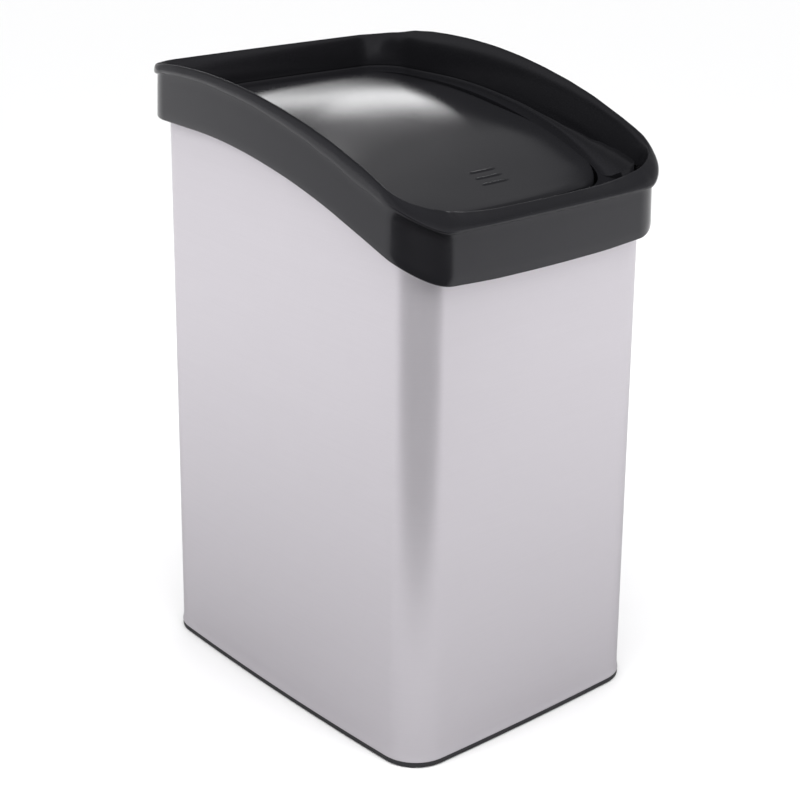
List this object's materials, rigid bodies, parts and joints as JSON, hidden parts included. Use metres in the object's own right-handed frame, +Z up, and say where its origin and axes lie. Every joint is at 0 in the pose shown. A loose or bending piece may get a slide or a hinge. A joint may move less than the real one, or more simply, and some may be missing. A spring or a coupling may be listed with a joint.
{
  "type": "swing-lid trash can",
  "caption": "Free-standing trash can with a satin metal body, a black rim that falls in a curve from back to front, and a curved lid that swings about a cross axis.",
  "frame": {"origin": "middle of the footprint, on the floor under the feet", "axes": "+Z up, X across the can, -Y towards the low front that the lid is pushed at"},
  "size_m": [0.2522, 0.3266, 0.4722],
  "materials": {
    "satin_metal": "satin",
    "black_gloss": "gloss",
    "black_satin": "satin",
    "floor_plastic": "matte",
    "white_nylon": "satin",
    "zinc_steel": "plated",
    "soft_rubber": "matte"
  },
  "bodies": {
    "can": {"body_shell": "satin_metal", "top_edge_guard": "black_satin", "base_pan": "floor_plastic", "base_ring": "black_satin", "rubber_feet": "soft_rubber"},
    "rim": {"rim_frame": "black_gloss", "lid_seat_frame": "black_gloss", "seat_frame_screws": "zinc_steel", "left_pivot_block": "black_satin", "right_pivot_block": "black_satin", "left_pivot_bush": "white_nylon", "right_pivot_bush": "white_nylon", "pivot_block_screws": "zinc_steel", "lid_stop_pads": "soft_rubber", "rim_grip_pads": "soft_rubber"},
    "lid": {"lid_top": "black_gloss", "lid_underside": "black_satin", "left_pivot_pin": "zinc_steel", "right_pivot_pin": "zinc_steel", "counterweight": "zinc_steel", "counterweight_screws": "zinc_steel", "lid_screws": "zinc_steel"}
  },
  "joints": [
    {"name": "rim_lift", "type": "slide", "parent": "can", "child": "rim", "axis": [0, 0, 1], "range_m": [0, 0.12]},
    {"name": "lid_swing", "type": "hinge", "parent": "rim", "child": "lid", "pos_m": [0, -0.012, 0.398], "axis": [1, 0, 0], "range_deg": [0, 55]}
  ]
}
